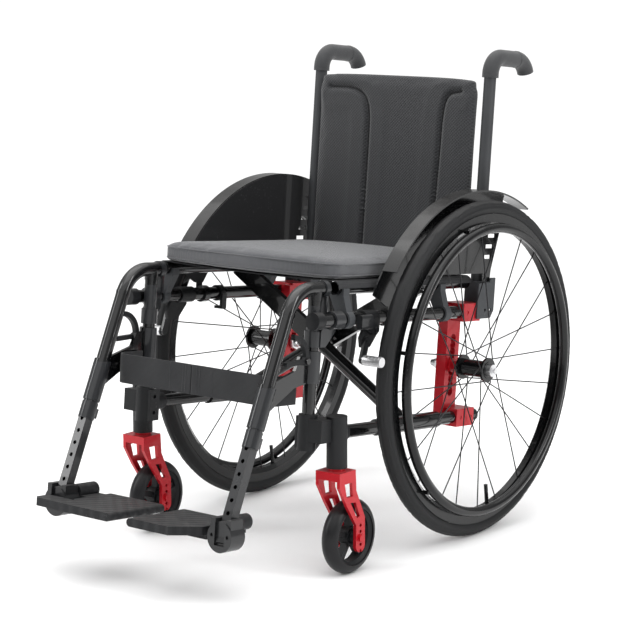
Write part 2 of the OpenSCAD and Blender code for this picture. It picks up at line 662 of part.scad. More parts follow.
// The square legrest tube slides in the hanger's sleeve and carries the footplate's clamp
clamp_r = 25;
clamp_l = 28;
clamp_z = -pin_drop - 15;
clamp_front = pin_y + clamp_l / 2 + 6;
clamp_rear = pin_y - clamp_l / 2;
ear_x = 16;
leg_over = 28;
hole_step = 21.5;
module legrest_tube() {
    color("#8b8e92") difference() {
        on_leg() block([-leg_w / 2, -leg_w / 2, -leg_l - leg_over], [leg_w / 2, leg_w / 2, -sleeve_top - 10]);
        on_leg() block([2 - leg_w / 2, 2 - leg_w / 2, -leg_l - leg_over - 1],
            [leg_w / 2 - 2, leg_w / 2 - 2, -sleeve_top]);
        on_leg() for (i = [0 : 6]) translate([0, -leg_w, -collar_end + 20 - i * hole_step])
            rotate([-90, 0, 0]) cylinder(d = 7, h = leg_w);
    }
    color("#3a3c40") difference() {
        on_frame() {
            translate([pin_x, 0, -pin_drop]) {
                bar_y(9, -pin_y, -pin_y + clamp_l / 2 + 52);
                bar_y(15, -pin_y + clamp_l / 2 + 48, -pin_y + clamp_l / 2 + 52);
            }
            translate([post_x, 0, clamp_z]) bar_y(2 * clamp_r, -clamp_front, -clamp_rear);
            for (x = [-ear_x, ear_x]) block([post_x + x - 5, 2 - clamp_front, clamp_z],
                [post_x + x + 5, -clamp_rear - 2, clamp_z + clamp_r + 4]);
        }
        on_leg() block([-leg_w / 2, -leg_w / 2, -leg_l - leg_over - 1], [leg_w / 2, leg_w / 2, -sleeve_end]);
        on_frame() {
            for (x = [-ear_x, ear_x]) translate([post_x + x, 0, clamp_z + 2])
                bar_y(6, -clamp_front - 1, 3 - clamp_front);
            block([post_x - leg_w / 2 - 1, -clamp_front - 1, clamp_z - 14],
                [post_x + leg_w / 2 + 1, 5 - clamp_front, clamp_z + clamp_r + 5]);
        }
    }
}

knuckle_d = 26;
// The right plate has a wing that passes in front of its clamp
module plate_wing() translate([0, 0, -plate_drop - plate_t]) linear_extrude(plate_t)
    polygon([[pin_x - clamp_r - 40, -plate_front], [post_x + 8, 4 - plate_front],
        [post_x + 14, 10 - plate_front], [post_x + 14, -clamp_front - 2],
        [pin_x - clamp_r - 40, -clamp_front - 2]]);
module footplate(side) color("#3a3c40") on_frame() {
    inner = plate_gap + plate_t / 2;
    outer = pin_x - clamp_r - 2;
    rear = -plate_front + plate_w;
    knuckle = -pin_y + clamp_l / 2 + 1;
    difference() {
        union() {
            translate([0, 0, -plate_drop - plate_t]) linear_extrude(plate_t) polygon([[inner, -plate_front],
                [outer - 34, -plate_front], [outer, knuckle - clamp_l - 2], [outer, knuckle],
                [pin_x, knuckle], [pin_x, knuckle + 46], [outer, knuckle + 46], [outer, rear], [inner, rear]]);
            translate([inner, 0, -plate_drop - plate_t / 2]) bar_y(plate_t, -plate_front, rear);
            translate([pin_x, 0, -pin_drop]) bar_y(knuckle_d, knuckle, knuckle + 46);
            if (side == "right") plate_wing();
            translate([0, 0, -plate_drop - plate_t - 8]) linear_extrude(9) polygon([[outer - 60, knuckle - 20],
                [outer, knuckle - 20], [outer, knuckle], [pin_x, knuckle], [pin_x, knuckle + 40],
                [outer - 60, knuckle + 40]]);
        }
        translate([pin_x, 0, -pin_drop]) bar_y(9 + 2 * run_fit, -pin_y - 60, -pin_y + 100);
    }
}

// Half of the calf strap, from the chair's middle round to the hanger's lug
strap_x = post_x - lug - rest_gap - strap_t / 2;
strap_r = 22;
module calf_strap() color("#1f2022") on_frame() translate([0, 0, strap_z - 25]) linear_extrude(50) {
    translate([0.5, -strap_y - strap_t / 2]) square([strap_x - strap_r - 0.5, strap_t]);
    translate([strap_x - strap_r, -strap_y - strap_r]) intersection() {
        difference() {
            circle(r = strap_r + strap_t / 2);
            circle(r = strap_r - strap_t / 2);
        }
        square(2 * strap_r);
    }
    translate([strap_x - strap_t / 2, -corner_y - 36]) square([strap_t, corner_y + 36 - strap_y - strap_r]);
}

module sided(name, side) {
    if (name == "upper_tube") upper_tube();
    if (name == "lower_rail") lower_rail();
    if (name == "front_post") front_post();
    if (name == "caster_housing") caster_housing();
    if (name == "axle_column") axle_column();
    if (name == "back_bracket") back_bracket();
    if (name == "backrest_cane") backrest_cane();
    if (name == "push_grip") push_grip();
    if (name == "side_guard") side_guard();
    if (name == "tube_fittings") tube_fittings();
    if (name == "brake_mount") brake_mount();
    if (name == "brake_lever") brake_lever();
    if (name == "brake_shoe") brake_shoe();
    if (name == "caster_fork") caster_fork();
    if (name == "caster_tyre") caster_tyre();
    if (name == "caster_core") caster_core();
    if (name == "wheel_tyre") wheel_tyre();
    if (name == "wheel_rim") wheel_rim();
    if (name == "wheel_spokes") wheel_spokes();
    if (name == "wheel_hub") wheel_hub();
    if (name == "handrim") handrim();
    if (name == "axle_button") axle_button();
    if (name == "hanger") hanger();
    if (name == "release_lever") release_lever();
    if (name == "legrest_tube") legrest_tube();
    if (name == "footplate") footplate(side);
    if (name == "calf_strap") calf_strap();
}

for (part = SIDED, side = ["left", "right"])
    on_side(side) sided(part, side);
brace_rear();
brace_front();
brace_pivot();
seat_sling();
seat_cushion();
back_upholstery();
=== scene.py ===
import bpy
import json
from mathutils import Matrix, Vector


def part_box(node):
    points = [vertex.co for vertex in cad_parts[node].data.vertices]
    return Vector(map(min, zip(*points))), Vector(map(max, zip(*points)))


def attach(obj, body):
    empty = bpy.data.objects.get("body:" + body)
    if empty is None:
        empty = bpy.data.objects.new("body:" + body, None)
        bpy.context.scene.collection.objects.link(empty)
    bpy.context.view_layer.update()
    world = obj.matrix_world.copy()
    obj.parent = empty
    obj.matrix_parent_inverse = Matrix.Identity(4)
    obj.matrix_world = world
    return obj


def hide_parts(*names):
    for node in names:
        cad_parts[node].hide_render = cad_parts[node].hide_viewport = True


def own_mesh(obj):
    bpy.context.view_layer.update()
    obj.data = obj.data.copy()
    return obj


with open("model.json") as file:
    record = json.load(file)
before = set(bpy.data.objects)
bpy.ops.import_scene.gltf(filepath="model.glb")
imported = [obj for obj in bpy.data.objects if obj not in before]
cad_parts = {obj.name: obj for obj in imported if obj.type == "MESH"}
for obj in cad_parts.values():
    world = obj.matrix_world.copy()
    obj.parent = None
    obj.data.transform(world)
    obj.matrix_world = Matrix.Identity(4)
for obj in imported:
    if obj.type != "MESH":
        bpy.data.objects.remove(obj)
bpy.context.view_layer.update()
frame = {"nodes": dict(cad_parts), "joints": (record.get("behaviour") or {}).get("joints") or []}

# %% [markdown]
# # A folding manual wheelchair
# The metal and plastic parts come from the CAD model and stay as they are: they only need finishes.
# The soft goods are modelled here, because a seat pad, a back panel and a webbing strap are sewn and
# stuffed things that a CAD solid can only stand in for. The tyres are rebuilt too, so that their tread
# is cut into the rubber.

# %% Tools of the lesson
import json
import math

import bpy
import numpy as np
from mathutils import Matrix, Vector

nodes = frame["nodes"]
joints = {joint["name"]: joint for joint in frame["joints"]}
bpy.ops.object.select_all(action="DESELECT")

# %% [markdown]
# The whole frame leans back by a few degrees, so the seat, the back and the tubes are easiest to draw
# upright and then lean. The rear axle is the origin of that upright drawing. Its place comes from the
# wheel's joint, and the lean from the axis of the folding joint, which runs along the tubes.

# %% The leaning frame
axle = Vector(joints["wheel_spin_left"]["pos_m"])
lean = math.asin(joints["fold"]["axis"][2])
leaning = Matrix.Translation((0, axle.y, axle.z)) @ Matrix.Rotation(-lean, 4, "X")
print("lean", round(math.degrees(lean), 2), "degrees")


def leaning_box(node):
    """Lowest and highest corner of a CAD node in the upright drawing."""
    back = leaning.inverted()
    points = np.array([back @ v.co for v in nodes[node].data.vertices])
    return Vector(points.min(0)), Vector(points.max(0))


# %% [markdown]
# Every piece is made in the same few steps: a primitive is added, shaped in edit mode, given modifiers
# that are applied, and settled, so that its object ends at the origin with its place in its mesh.

# %% Helpers for modelling
def select_only(*pieces):
    if bpy.context.mode != "OBJECT":
        bpy.ops.object.mode_set(mode="OBJECT")
    bpy.ops.object.select_all(action="DESELECT")
    for piece in pieces:
        piece.select_set(True)
    bpy.context.view_layer.objects.active = pieces[-1]


def named(name):
    piece = bpy.context.object
    piece.name = piece.data.name = name
    return piece


def apply_modifiers(piece):
    select_only(piece)
    for modifier in list(piece.modifiers):
        bpy.ops.object.modifier_apply(modifier=modifier.name)


def settle(piece, leans=True):
    """Leans a finished piece and writes its place into its mesh."""
    select_only(piece)
    if leans:
        piece.matrix_world = leaning @ piece.matrix_world
    bpy.ops.object.transform_apply(location=True, rotation=True, scale=True)
    bpy.ops.object.mode_set(mode="EDIT")
    bpy.ops.mesh.select_all(action="SELECT")
    bpy.ops.mesh.normals_make_consistent(inside=False)
    bpy.ops.object.mode_set(mode="OBJECT")
    bpy.ops.object.shade_smooth_by_angle(angle=math.radians(40))
    print(piece.name, len(piece.data.polygons), "faces")


def points_of(piece):
    points = np.zeros(len(piece.data.vertices) * 3)
    piece.data.vertices.foreach_get("co", points)
    return points.reshape(-1, 3)


def put_points(piece, points):
    piece.data.vertices.foreach_set("co", np.asarray(points, np.float32).ravel())
    piece.data.update()


def box(name, low, high, cuts=0):
    """A box between two corners, cut into a grid."""
    low, high = Vector(low), Vector(high)
    bpy.ops.mesh.primitive_cube_add(size=1, location=(low + high) / 2)
    piece = named(name)
    piece.scale = high - low
    bpy.ops.object.transform_apply(location=True, rotation=True, scale=True)
    if cuts:
        bpy.ops.object.mode_set(mode="EDIT")
        bpy.ops.mesh.subdivide(number_cuts=cuts)
        bpy.ops.object.mode_set(mode="OBJECT")
    return piece


def tube(name, path, width, sides=3):
    """A thin round welt along a path of points."""
    curve = bpy.data.curves.new(name, "CURVE")
    curve.dimensions = "3D"
    curve.bevel_depth = width / 2
    curve.bevel_resolution = sides
    curve.use_fill_caps = True
    spline = curve.splines.new("POLY")
    spline.points.add(len(path) - 1)
    for point, place in zip(spline.points, path):
        point.co = (*place, 1)
    piece = bpy.data.objects.new(name, curve)
    bpy.context.collection.objects.link(piece)
    select_only(piece)
    bpy.ops.object.convert(target="MESH")
    return named(name)


# %% [markdown]
# ## Surface effects
# Real finishes are never one flat colour. A few effects come back in many of them: a fine grain, scuffs
# where parts get knocked, dust on what faces up, a woven or knitted cloth, and a change of finish at a
# stated place on one part. Each is built once as a node group and placed in the materials with its own
# values. They all read the place on the part, so the pattern stays put when a part moves.

# %% Node group helpers
def new_group(name, inputs, outputs):
    group = bpy.data.node_groups.new(name, "ShaderNodeTree")
    for socket, kind, value in inputs:
        made = group.interface.new_socket(name=socket, in_out="INPUT", socket_type=kind)
        if value is not None:
            made.default_value = value
    for socket in outputs:
        group.interface.new_socket(name=socket, in_out="OUTPUT", socket_type="NodeSocketFloat")
    return group, group.nodes.new("NodeGroupInput"), group.nodes.new("NodeGroupOutput")


def plug(tree, value, socket):
    """Joins a socket to another socket, or sets it to a plain value."""
    if isinstance(value, bpy.types.NodeSocket):
        tree.links.new(value, socket)
    else:
        socket.default_value = value


def maths(tree, operation, *values, clamp=False):
    node = tree.nodes.new("ShaderNodeMath")
    node.operation = operation
    node.use_clamp = clamp
    for value, socket in zip(values, node.inputs):
        plug(tree, value, socket)
    return node.outputs[0]


def ramp(tree, value, low, high):
    node = tree.nodes.new("ShaderNodeMapRange")
    node.interpolation_type = "SMOOTHSTEP"
    for item, socket in zip((value, low, high), node.inputs):
        plug(tree, item, socket)
    return node.outputs[0]


def noise(tree, vector, scale, detail=3.0):
    node = tree.nodes.new("ShaderNodeTexNoise")
    plug(tree, vector, node.inputs["Vector"])
    plug(tree, scale, node.inputs["Scale"])
    node.inputs["Detail"].default_value = detail
    return node.outputs["Fac"]


VECTOR, FLOAT = "NodeSocketVector", "NodeSocketFloat"

# %% Grain, scuffs and dust
grain, given, out = new_group("fine_grain", [("Place", VECTOR, None), ("Scale", FLOAT, 900.0)],
                              ["Height", "Shade"])
plug(grain, noise(grain, given.outputs["Place"], given.outputs["Scale"], 2.0), out.inputs["Height"])
plug(grain, noise(grain, given.outputs["Place"], 14.0, 4.0), out.inputs["Shade"])

scuffs, given, out = new_group("scuffs", [("Place", VECTOR, None), ("Amount", FLOAT, 0.3)], ["Mask"])
where = ramp(scuffs, noise(scuffs, given.outputs["Place"], 9.0), 0.52, 0.72)
marks = ramp(scuffs, noise(scuffs, given.outputs["Place"], 260.0, 6.0), 0.6, 0.7)
plug(scuffs, maths(scuffs, "MULTIPLY", maths(scuffs, "MULTIPLY", where, marks),
                   given.outputs["Amount"]), out.inputs["Mask"])

dust, given, out = new_group("dust", [("Place", VECTOR, None), ("Facing", VECTOR, None),
                                      ("Amount", FLOAT, 0.2)], ["Mask"])
split = dust.nodes.new("ShaderNodeSeparateXYZ")
plug(dust, given.outputs["Facing"], split.inputs[0])
upwards = ramp(dust, split.outputs["Z"], 0.5, 1.0)
plug(dust, maths(dust, "MULTIPLY", maths(dust, "MULTIPLY", upwards,
                                         noise(dust, given.outputs["Place"], 35.0, 5.0)),
                 given.outputs["Amount"]), out.inputs["Mask"])

# %% [markdown]
# A woven cloth is two sets of threads that cross, and a spacer mesh is a lattice of small holes. Both
# come from waves in two directions across the cloth: where both waves are low there is a hole.

# %% Threads
threads, given, out = new_group(
    "threads", [("Across", FLOAT, None), ("Along", FLOAT, None), ("Count", FLOAT, 900.0)],
    ["Height", "Hole"])
turn = maths(threads, "MULTIPLY", given.outputs["Count"], 2 * math.pi)
waves = [maths(threads, "SINE", maths(threads, "MULTIPLY", given.outputs[name], turn))
         for name in ("Across", "Along")]
both = maths(threads, "ADD", *waves)
plug(threads, both, out.inputs["Height"])
plug(threads, ramp(threads, maths(threads, "MULTIPLY", both, -1.0), 0.5, 1.5), out.inputs["Hole"])

# %% [markdown]
# Some CAD parts join two finishes, such as a red column with a steel axle sleeve. A zone is a box in the
# upright drawing, and its mask is one inside the box. Left and right share it, because it reads the
# distance from the middle of the chair.

# %% Zones
zone, given, out = new_group("zone", [("Place", VECTOR, None), ("Low", VECTOR, None),
                                      ("High", VECTOR, None)], ["Mask"])
inside = []
for side, order in (("Low", ("Place", "Low")), ("High", ("High", "Place"))):
    gap = zone.nodes.new("ShaderNodeVectorMath")
    gap.operation = "SUBTRACT"
    for name, socket in zip(order, gap.inputs):
        plug(zone, given.outputs[name], socket)
    apart = zone.nodes.new("ShaderNodeSeparateXYZ")
    plug(zone, gap.outputs[0], apart.inputs[0])
    inside += [maths(zone, "GREATER_THAN", socket, 0.0) for socket in apart.outputs]
mask = inside[0]
for one in inside[1:]:
    mask = maths(zone, "MULTIPLY", mask, one)
plug(zone, mask, out.inputs["Mask"])


# %% [markdown]
# One function makes every material from those effects. What differs is only the colour, the gloss, how
# strong each effect is, and which zones change the finish. A value that is the same all over goes on
# the shader itself.

# %% Finishes
def use(tree, group, **values):
    node = tree.nodes.new("ShaderNodeGroup")
    node.node_tree = group
    for name, value in values.items():
        plug(tree, value, node.inputs[name])
    return node


def blend(tree, amount, first, second):
    node = tree.nodes.new("ShaderNodeMix")
    node.data_type = "RGBA"
    plug(tree, amount, node.inputs["Factor"])
    for value, name in ((first, "A_Color"), (second, "B_Color")):
        socket = next(s for s in node.inputs if s.identifier == name)
        plug(tree, value if isinstance(value, bpy.types.NodeSocket) else (*value, 1), socket)
    return next(s for s in node.outputs if s.identifier == "Result_Color")


def steer(tree, amount, first, second):
    node = tree.nodes.new("ShaderNodeMix")
    plug(tree, amount, node.inputs["Factor"])
    for value, name in ((first, "A_Float"), (second, "B_Float")):
        plug(tree, value, next(s for s in node.inputs if s.identifier == name))
    return next(s for s in node.outputs if s.identifier == "Result_Float")


def finish(name, colour, gloss, metal=0.0, coat=0.0, sheen=0.0, specular=0.25, shade=0.25, fine=900.0,
           bump=0.05, wear=0.2, worn=(0.3, 0.3, 0.31), dirt=0.15, pattern=None, zones=()):
    """gloss is 0 for matt and 1 for a mirror. A zone is (low, high, colour, gloss, metal), in metres."""
    material = bpy.data.materials.new(name)
    material.use_nodes = True
    tree = material.node_tree
    shader = tree.nodes["Principled BSDF"]
    places = tree.nodes.new("ShaderNodeTexCoord")
    upright = tree.nodes.new("ShaderNodeMapping")
    upright.vector_type = "TEXTURE"
    upright.inputs["Location"].default_value = (0, axle.y, axle.z)
    upright.inputs["Rotation"].default_value = (-lean, 0, 0)
    plug(tree, places.outputs["Object"], upright.inputs["Vector"])
    place = upright.outputs[0]
    half = tree.nodes.new("ShaderNodeVectorMath")
    half.operation = "ABSOLUTE"
    plug(tree, place, half.inputs[0])
    parts = tree.nodes.new("ShaderNodeSeparateXYZ")
    plug(tree, place, parts.inputs[0])
    widths = tree.nodes.new("ShaderNodeSeparateXYZ")
    plug(tree, half.outputs[0], widths.inputs[0])
    outward = tree.nodes.new("ShaderNodeCombineXYZ")
    for source, socket in zip((widths.outputs["X"], parts.outputs["Y"], parts.outputs["Z"]),
                              outward.inputs):
        plug(tree, source, socket)

    grains = use(tree, grain, Place=place, Scale=fine)
    tint = blend(tree, grains.outputs["Shade"], [c * (1 - shade) for c in colour],
                 [c * (1 + shade) for c in colour])
    rough, metallic = 1 - gloss, metal
    for low, high, zone_colour, zone_gloss, zone_metal in zones:
        here = use(tree, zone, Place=outward.outputs[0], Low=low, High=high).outputs[0]
        tint = blend(tree, here, tint, zone_colour)
        rough = steer(tree, here, rough, 1 - zone_gloss)
        metallic = steer(tree, here, metallic, zone_metal)
    height = maths(tree, "MULTIPLY", grains.outputs["Height"], bump)
    if pattern:
        tint, height = pattern(tree, parts.outputs, tint, height)
    marks = use(tree, scuffs, Place=place, Amount=wear).outputs[0]
    dirty = use(tree, dust, Place=place, Facing=places.outputs["Normal"], Amount=dirt).outputs[0]
    tint = blend(tree, marks, tint, worn)
    tint = blend(tree, dirty, tint, (0.32, 0.31, 0.3))
    rough = maths(tree, "ADD", rough, maths(tree, "MULTIPLY", grains.outputs["Shade"], 0.08))
    rough = maths(tree, "ADD", rough, maths(tree, "MULTIPLY", maths(tree, "ADD", marks, dirty), 0.3),
                  clamp=True)
    plug(tree, tint, shader.inputs["Base Color"])
    plug(tree, rough, shader.inputs["Roughness"])
    plug(tree, metallic, shader.inputs["Metallic"])
    bumps = tree.nodes.new("ShaderNodeBump")
    bumps.inputs["Strength"].default_value = 0.6
    bumps.inputs["Distance"].default_value = 0.001
    plug(tree, height, bumps.inputs["Height"])
    plug(tree, bumps.outputs[0], shader.inputs["Normal"])
    shader.inputs["Coat Weight"].default_value = coat
    shader.inputs["Coat Roughness"].default_value = 0.05
    shader.inputs["Sheen Weight"].default_value = sheen
    shader.inputs["Sheen Roughness"].default_value = 0.5
    shader.inputs["Specular IOR Level"].default_value = specular
    return material


# %% Patterns across a surface
def lattice(across, along, count, depth, shade_colour=(0.003, 0.003, 0.004), slant=True, shade_strength=0.8):
    """A pattern of threads or holes, over two of the three directions, with painted shade in the holes and
    grooves.
    """
    def pattern(tree, parts, tint, height):
        first, second = parts[across], parts[along]
        if slant:
            first, second = (maths(tree, "ADD", parts[across], parts[along]),
                             maths(tree, "SUBTRACT", parts[across], parts[along]))
        cloth = use(tree, threads, Across=first, Along=second, Count=count)
        # Painted shade: the holes and the gaps between threads are blended towards a near-black colour.
        shadow = maths(tree, "MULTIPLY", cloth.outputs["Hole"], shade_strength)
        return (blend(tree, shadow, tint, shade_colour),
                maths(tree, "ADD", height, maths(tree, "MULTIPLY", cloth.outputs["Height"], depth)))
    return pattern


# %% [markdown]
# ## The finishes of this chair
# The tubes have a black powder coat under gloss, the columns and caster forks a red one with a metallic
# shine. The levers, clamps and footplates are dark moulded nylon, the saddles and back brackets a grey
# one, and the axle parts are bright steel. An entry in a zone list below is one place on one part.

# %% Materials for the frame
BLACK, DARK, GREY = (0.003, 0.0032, 0.0036), (0.0085, 0.009, 0.01), (0.05, 0.053, 0.057)
SMOKE, RED, STEEL = (0.015, 0.016, 0.018), (0.44, 0.006, 0.014), (0.66, 0.66, 0.67)
column = leaning_box("axle_column_left")
EVERYWHERE = 2.0


def slab(axis, low, high):
    """The zone between two planes across one axis."""
    first, last = [-EVERYWHERE] * 3, [EVERYWHERE] * 3
    first[axis], last[axis] = low, high
    return tuple(first), tuple(last)


hub_radius, sleeve_reach = 0.0135, 0.0265
sleeve_low, sleeve_high = (-hub_radius, -hub_radius), (hub_radius, hub_radius)
finishes = {
    "tube_black": finish("tube_black", BLACK, 0.84, coat=0.6, specular=0.2, shade=0.1, wear=0.1, dirt=0.05),
    "cane_satin": finish("cane_satin", (0.05, 0.052, 0.055), 0.52, metal=0.4, wear=0.15, dirt=0.05),
    "rim_black": finish("rim_black", BLACK, 0.78, coat=0.3, metal=0.3, wear=0.15, dirt=0.05),
    "spoke_dark": finish("spoke_dark", (0.03, 0.03, 0.032), 0.65, metal=0.7, wear=0.1),
    "nylon_dark": finish("nylon_dark", DARK, 0.55, fine=1400, bump=0.25, dirt=0.08),
    "nylon_grey": finish("nylon_grey", GREY, 0.5, fine=1400, bump=0.25),
    "rubber_grip": finish("rubber_grip", (0.032, 0.033, 0.035), 0.42, fine=1600, bump=0.6, sheen=0.2,
                          wear=0.3),
    "rubber_caster": finish("rubber_caster", (0.007, 0.007, 0.008), 0.68, fine=700, wear=0.15,
                            worn=(0.05, 0.05, 0.05), dirt=0.05),
    "steel": finish("steel", STEEL, 0.78, metal=1.0, wear=0.2, worn=(0.3, 0.29, 0.28), dirt=0.05),
    "fender_black": finish("fender_black", BLACK, 0.84, coat=0.25, specular=0.35, shade=0.1, wear=0.12,
                           zones=[(*slab(0, 0.2, 0.2128), (0.006, 0.006, 0.007), 0.3, 0.0)]),
    "post_black": finish("post_black", BLACK, 0.84, coat=0.6, specular=0.2, zones=[
        ((0.1, -0.43, 0.052), (0.25, -0.32, 0.12), SMOKE, 0.5, 0.0)]),
    "column_red": finish("column_red", RED, 0.66, coat=0.3, metal=0.35, shade=0.12,
                         worn=(0.25, 0.02, 0.02), zones=[
        ((0.1, *sleeve_low), (0.17, *sleeve_high), STEEL, 0.75, 1.0),
        ((column[1].x - sleeve_reach, *sleeve_low), (0.5, *sleeve_high), STEEL, 0.75, 1.0)]),
    "fittings": finish("fittings", DARK, 0.6, fine=1200, bump=0.2, zones=[
        (*slab(1, -0.353, -0.335), GREY, 0.5, 0.0), (*slab(1, -0.069, -0.051), GREY, 0.5, 0.0)]),
    "hanger_black": finish("hanger_black", BLACK, 0.84, coat=0.6, specular=0.2, shade=0.1, zones=[
        ((0.1, -0.387, 0.1), (0.25, -0.374, 0.17), SMOKE, 0.5, 0.0),
        ((0.1, -0.415, -0.01), (0.25, -0.38, 0.05), SMOKE, 0.55, 0.0),
        ((0.1, -0.9, -0.3), (0.25, -0.5, -0.008), SMOKE, 0.62, 0.2)]),
    "leg_grey": finish("leg_grey", (0.014, 0.0145, 0.016), 0.76, metal=0.1, coat=0.4, wear=0.12, zones=[
        (*slab(2, -0.4, -0.2), DARK, 0.55, 0.0)]),
    "brake_dark": finish("brake_dark", DARK, 0.62, coat=0.4, zones=[
        ((0.226, -0.36, -0.02), (0.3, -0.28, 0.045), STEEL, 0.7, 1.0)]),
}

# %% [markdown]
# The footplates have a fine diamond tread moulded into them. It is a lattice of grooves across the plate,
# turned by an eighth. The caster forks share the red of the axle columns, without their steel sleeve.

# %% Footplates and forks
# The grooves of the tread are painted darker, as painted shade.
finishes["plate_tread"] = finish("plate_tread", (0.012, 0.0125, 0.0138), 0.5, fine=1200, bump=0.2,
                                 pattern=lattice(0, 1, 42.0, 0.7, slant=True, shade_strength=0.35))
finishes["fork_red"] = finish("fork_red", RED, 0.66, coat=0.3, metal=0.35, shade=0.12,
                              worn=(0.25, 0.02, 0.02))

# %% Give each CAD part its finish
for kind, names in {
    "tube_black": "upper_tube lower_rail",
    "cane_satin": "backrest_cane",
    "rim_black": "wheel_rim wheel_hub handrim",
    "spoke_dark": "wheel_spokes",
    "nylon_dark": "caster_housing brake_mount release_lever caster_core",
    "nylon_grey": "back_bracket",
    "rubber_grip": "push_grip",
    "rubber_caster": "caster_tyre",
    "steel": "axle_button",
    "fender_black": "side_guard",
    "post_black": "front_post",
    "column_red": "axle_column",
    "fittings": "tube_fittings",
    "hanger_black": "hanger",
    "leg_grey": "legrest_tube",
    "plate_tread": "footplate",
    "brake_dark": "brake_lever brake_shoe",
    "fork_red": "caster_fork",
}.items():
    for name in names.split():
        for side in ("left", "right"):
            slots = nodes[f"{name}_{side}"].material_slots
            for slot in slots:
                slot.material = finishes[kind]
for name, kind in (("brace_rear", "tube_black"), ("brace_front", "tube_black"), ("brace_pivot", "steel")):
    for slot in nodes[name].material_slots:
        slot.material = finishes[kind]
print(len(finishes), "finishes placed")

# %% [markdown]
# ## The seat cushion
# A foam pad in a smooth grey cover. Its front edge bulges in a wide arc, its corners are round, and a
# welt runs round its lower edge. Foam in a tight cover swells between its seams, so the pad starts a
# little smaller, is filled with air by a short cloth simulation, and is held to a few millimetres.

# %% Filling a soft piece
def puff(piece, voxel, pressure, cap):
    select_only(piece)
    remesh = piece.modifiers.new("Remesh", "REMESH")
    remesh.mode = "VOXEL"
    remesh.voxel_size = voxel
    apply_modifiers(piece)
    start = points_of(piece)
    cloth = piece.modifiers.new("Cloth", "CLOTH")
    cloth.settings.quality = 5
    cloth.settings.use_pressure = True
    cloth.settings.uniform_pressure_force = pressure
    cloth.settings.effector_weights.gravity = 0
    for moment in range(1, 21):
        bpy.context.scene.frame_set(moment)
    apply_modifiers(piece)
    bpy.context.scene.frame_set(1)
    moved = points_of(piece) - start
    far = np.linalg.norm(moved, axis=1, keepdims=True)
    put_points(piece, start + moved * np.minimum(1, cap / np.maximum(far, 1e-9)))
    print(piece.name, "swelled by up to", round(float(far.max()) * 1000, 1), "mm")


def smooth_steps(value, low, high):
    value = np.clip((value - low) / (high - low), 0, 1)
    return value * value * (3 - 2 * value)


# %% The pad
low, high = leaning_box("seat_cushion")
half_width, length = high.x, high.y - low.y
bulge, swell, corner = 0.0215, 0.0015, 0.018
cushion = box("seat_pad", (low.x + swell, low.y + swell, low.z + swell / 2),
              (high.x - swell, high.y - swell, high.z - swell), cuts=30)
points = points_of(cushion)
across = points[:, 0] / half_width
forward = smooth_steps(-points[:, 1], -high.y, -low.y)
points[:, 1] += bulge * across ** 2 * forward
front = low.y + bulge + corner
for end, inner in ((-1, front), (1, high.y - corner)):
    beyond_x = np.maximum(np.abs(points[:, 0]) - (half_width - corner), 0) / corner
    beyond_y = np.maximum((points[:, 1] - inner) * end, 0) / corner
    reach = np.maximum(beyond_x, beyond_y)
    both = (beyond_x > 0) & (beyond_y > 0)
    round_by = np.where(both, reach / np.maximum(np.hypot(beyond_x, beyond_y), 1e-9), 1)
    points[:, 0] = np.where(both, np.sign(points[:, 0]) * (half_width - corner
                            + beyond_x * round_by * corner), points[:, 0])
    points[:, 1] = np.where(both, inner + end * beyond_y * round_by * corner, points[:, 1])
put_points(cushion, points)
puff(cushion, 0.005, 4.0, 0.006)
subdivision = cushion.modifiers.new("Smooth", "SUBSURF")
subdivision.levels = subdivision.render_levels = 1
apply_modifiers(cushion)
points = points_of(cushion)
crown_height, edge_share, shoulder_z = 0.005, 1 - swell / half_width, low.z + 0.012
crown = crown_height * (1 - edge_share * (points[:, 0] / half_width) ** 2).clip(0, 1)
top = smooth_steps(points[:, 2], shoulder_z, high.z)
points[:, 2] += crown * top
points[:, 2] = np.maximum(points[:, 2], low.z)
put_points(cushion, points)

# %% [markdown]
# The welt follows the pad's own outline, so it is taken from the pad: a flat cut through the mesh leaves
# one closed line, which gets a round section. The boxing strip between the top and the base of the
# cover has such a welt near each of its edges.

# %% Welts round the pad
def outline_at(piece, height, grow=0.0):
    """The closed line where a level plane cuts a piece, grown outwards a little."""
    points = points_of(piece)
    near = points[np.abs(points[:, 2] - height) < 0.004]
    middle = near.mean(0)
    turns = np.arctan2(near[:, 1] - middle[1], near[:, 0] - middle[0])
    reach = np.hypot(near[:, 0] - middle[0], near[:, 1] - middle[1])
    line = []
    count = 240
    for step in range(count):
        angle = -math.pi + 2 * math.pi * (step + 0.5) / count
        close = np.abs(np.angle(np.exp(1j * (turns - angle)))) < 2 * math.pi / count
        if close.any():
            far = reach[close].max() + grow
            line.append((middle[0] + far * math.cos(angle), middle[1] + far * math.sin(angle), height))
    return line + line[:1]


welts = []
welt_width, sunk = 0.0022, 0.0004
for name, height in (("pad_welt_low", low.z + 0.0055), ("pad_welt_high", high.z - 0.0035)):
    welts.append(tube(name, outline_at(cushion, height, -sunk), welt_width, 2))

# %% [markdown]
# ## The seat sling
# Under the pad a sheet of black webbing is stretched between the two seat rails and wraps over them. It
# sags a little between the rails. A grid is bent over the rails and then given its thickness.

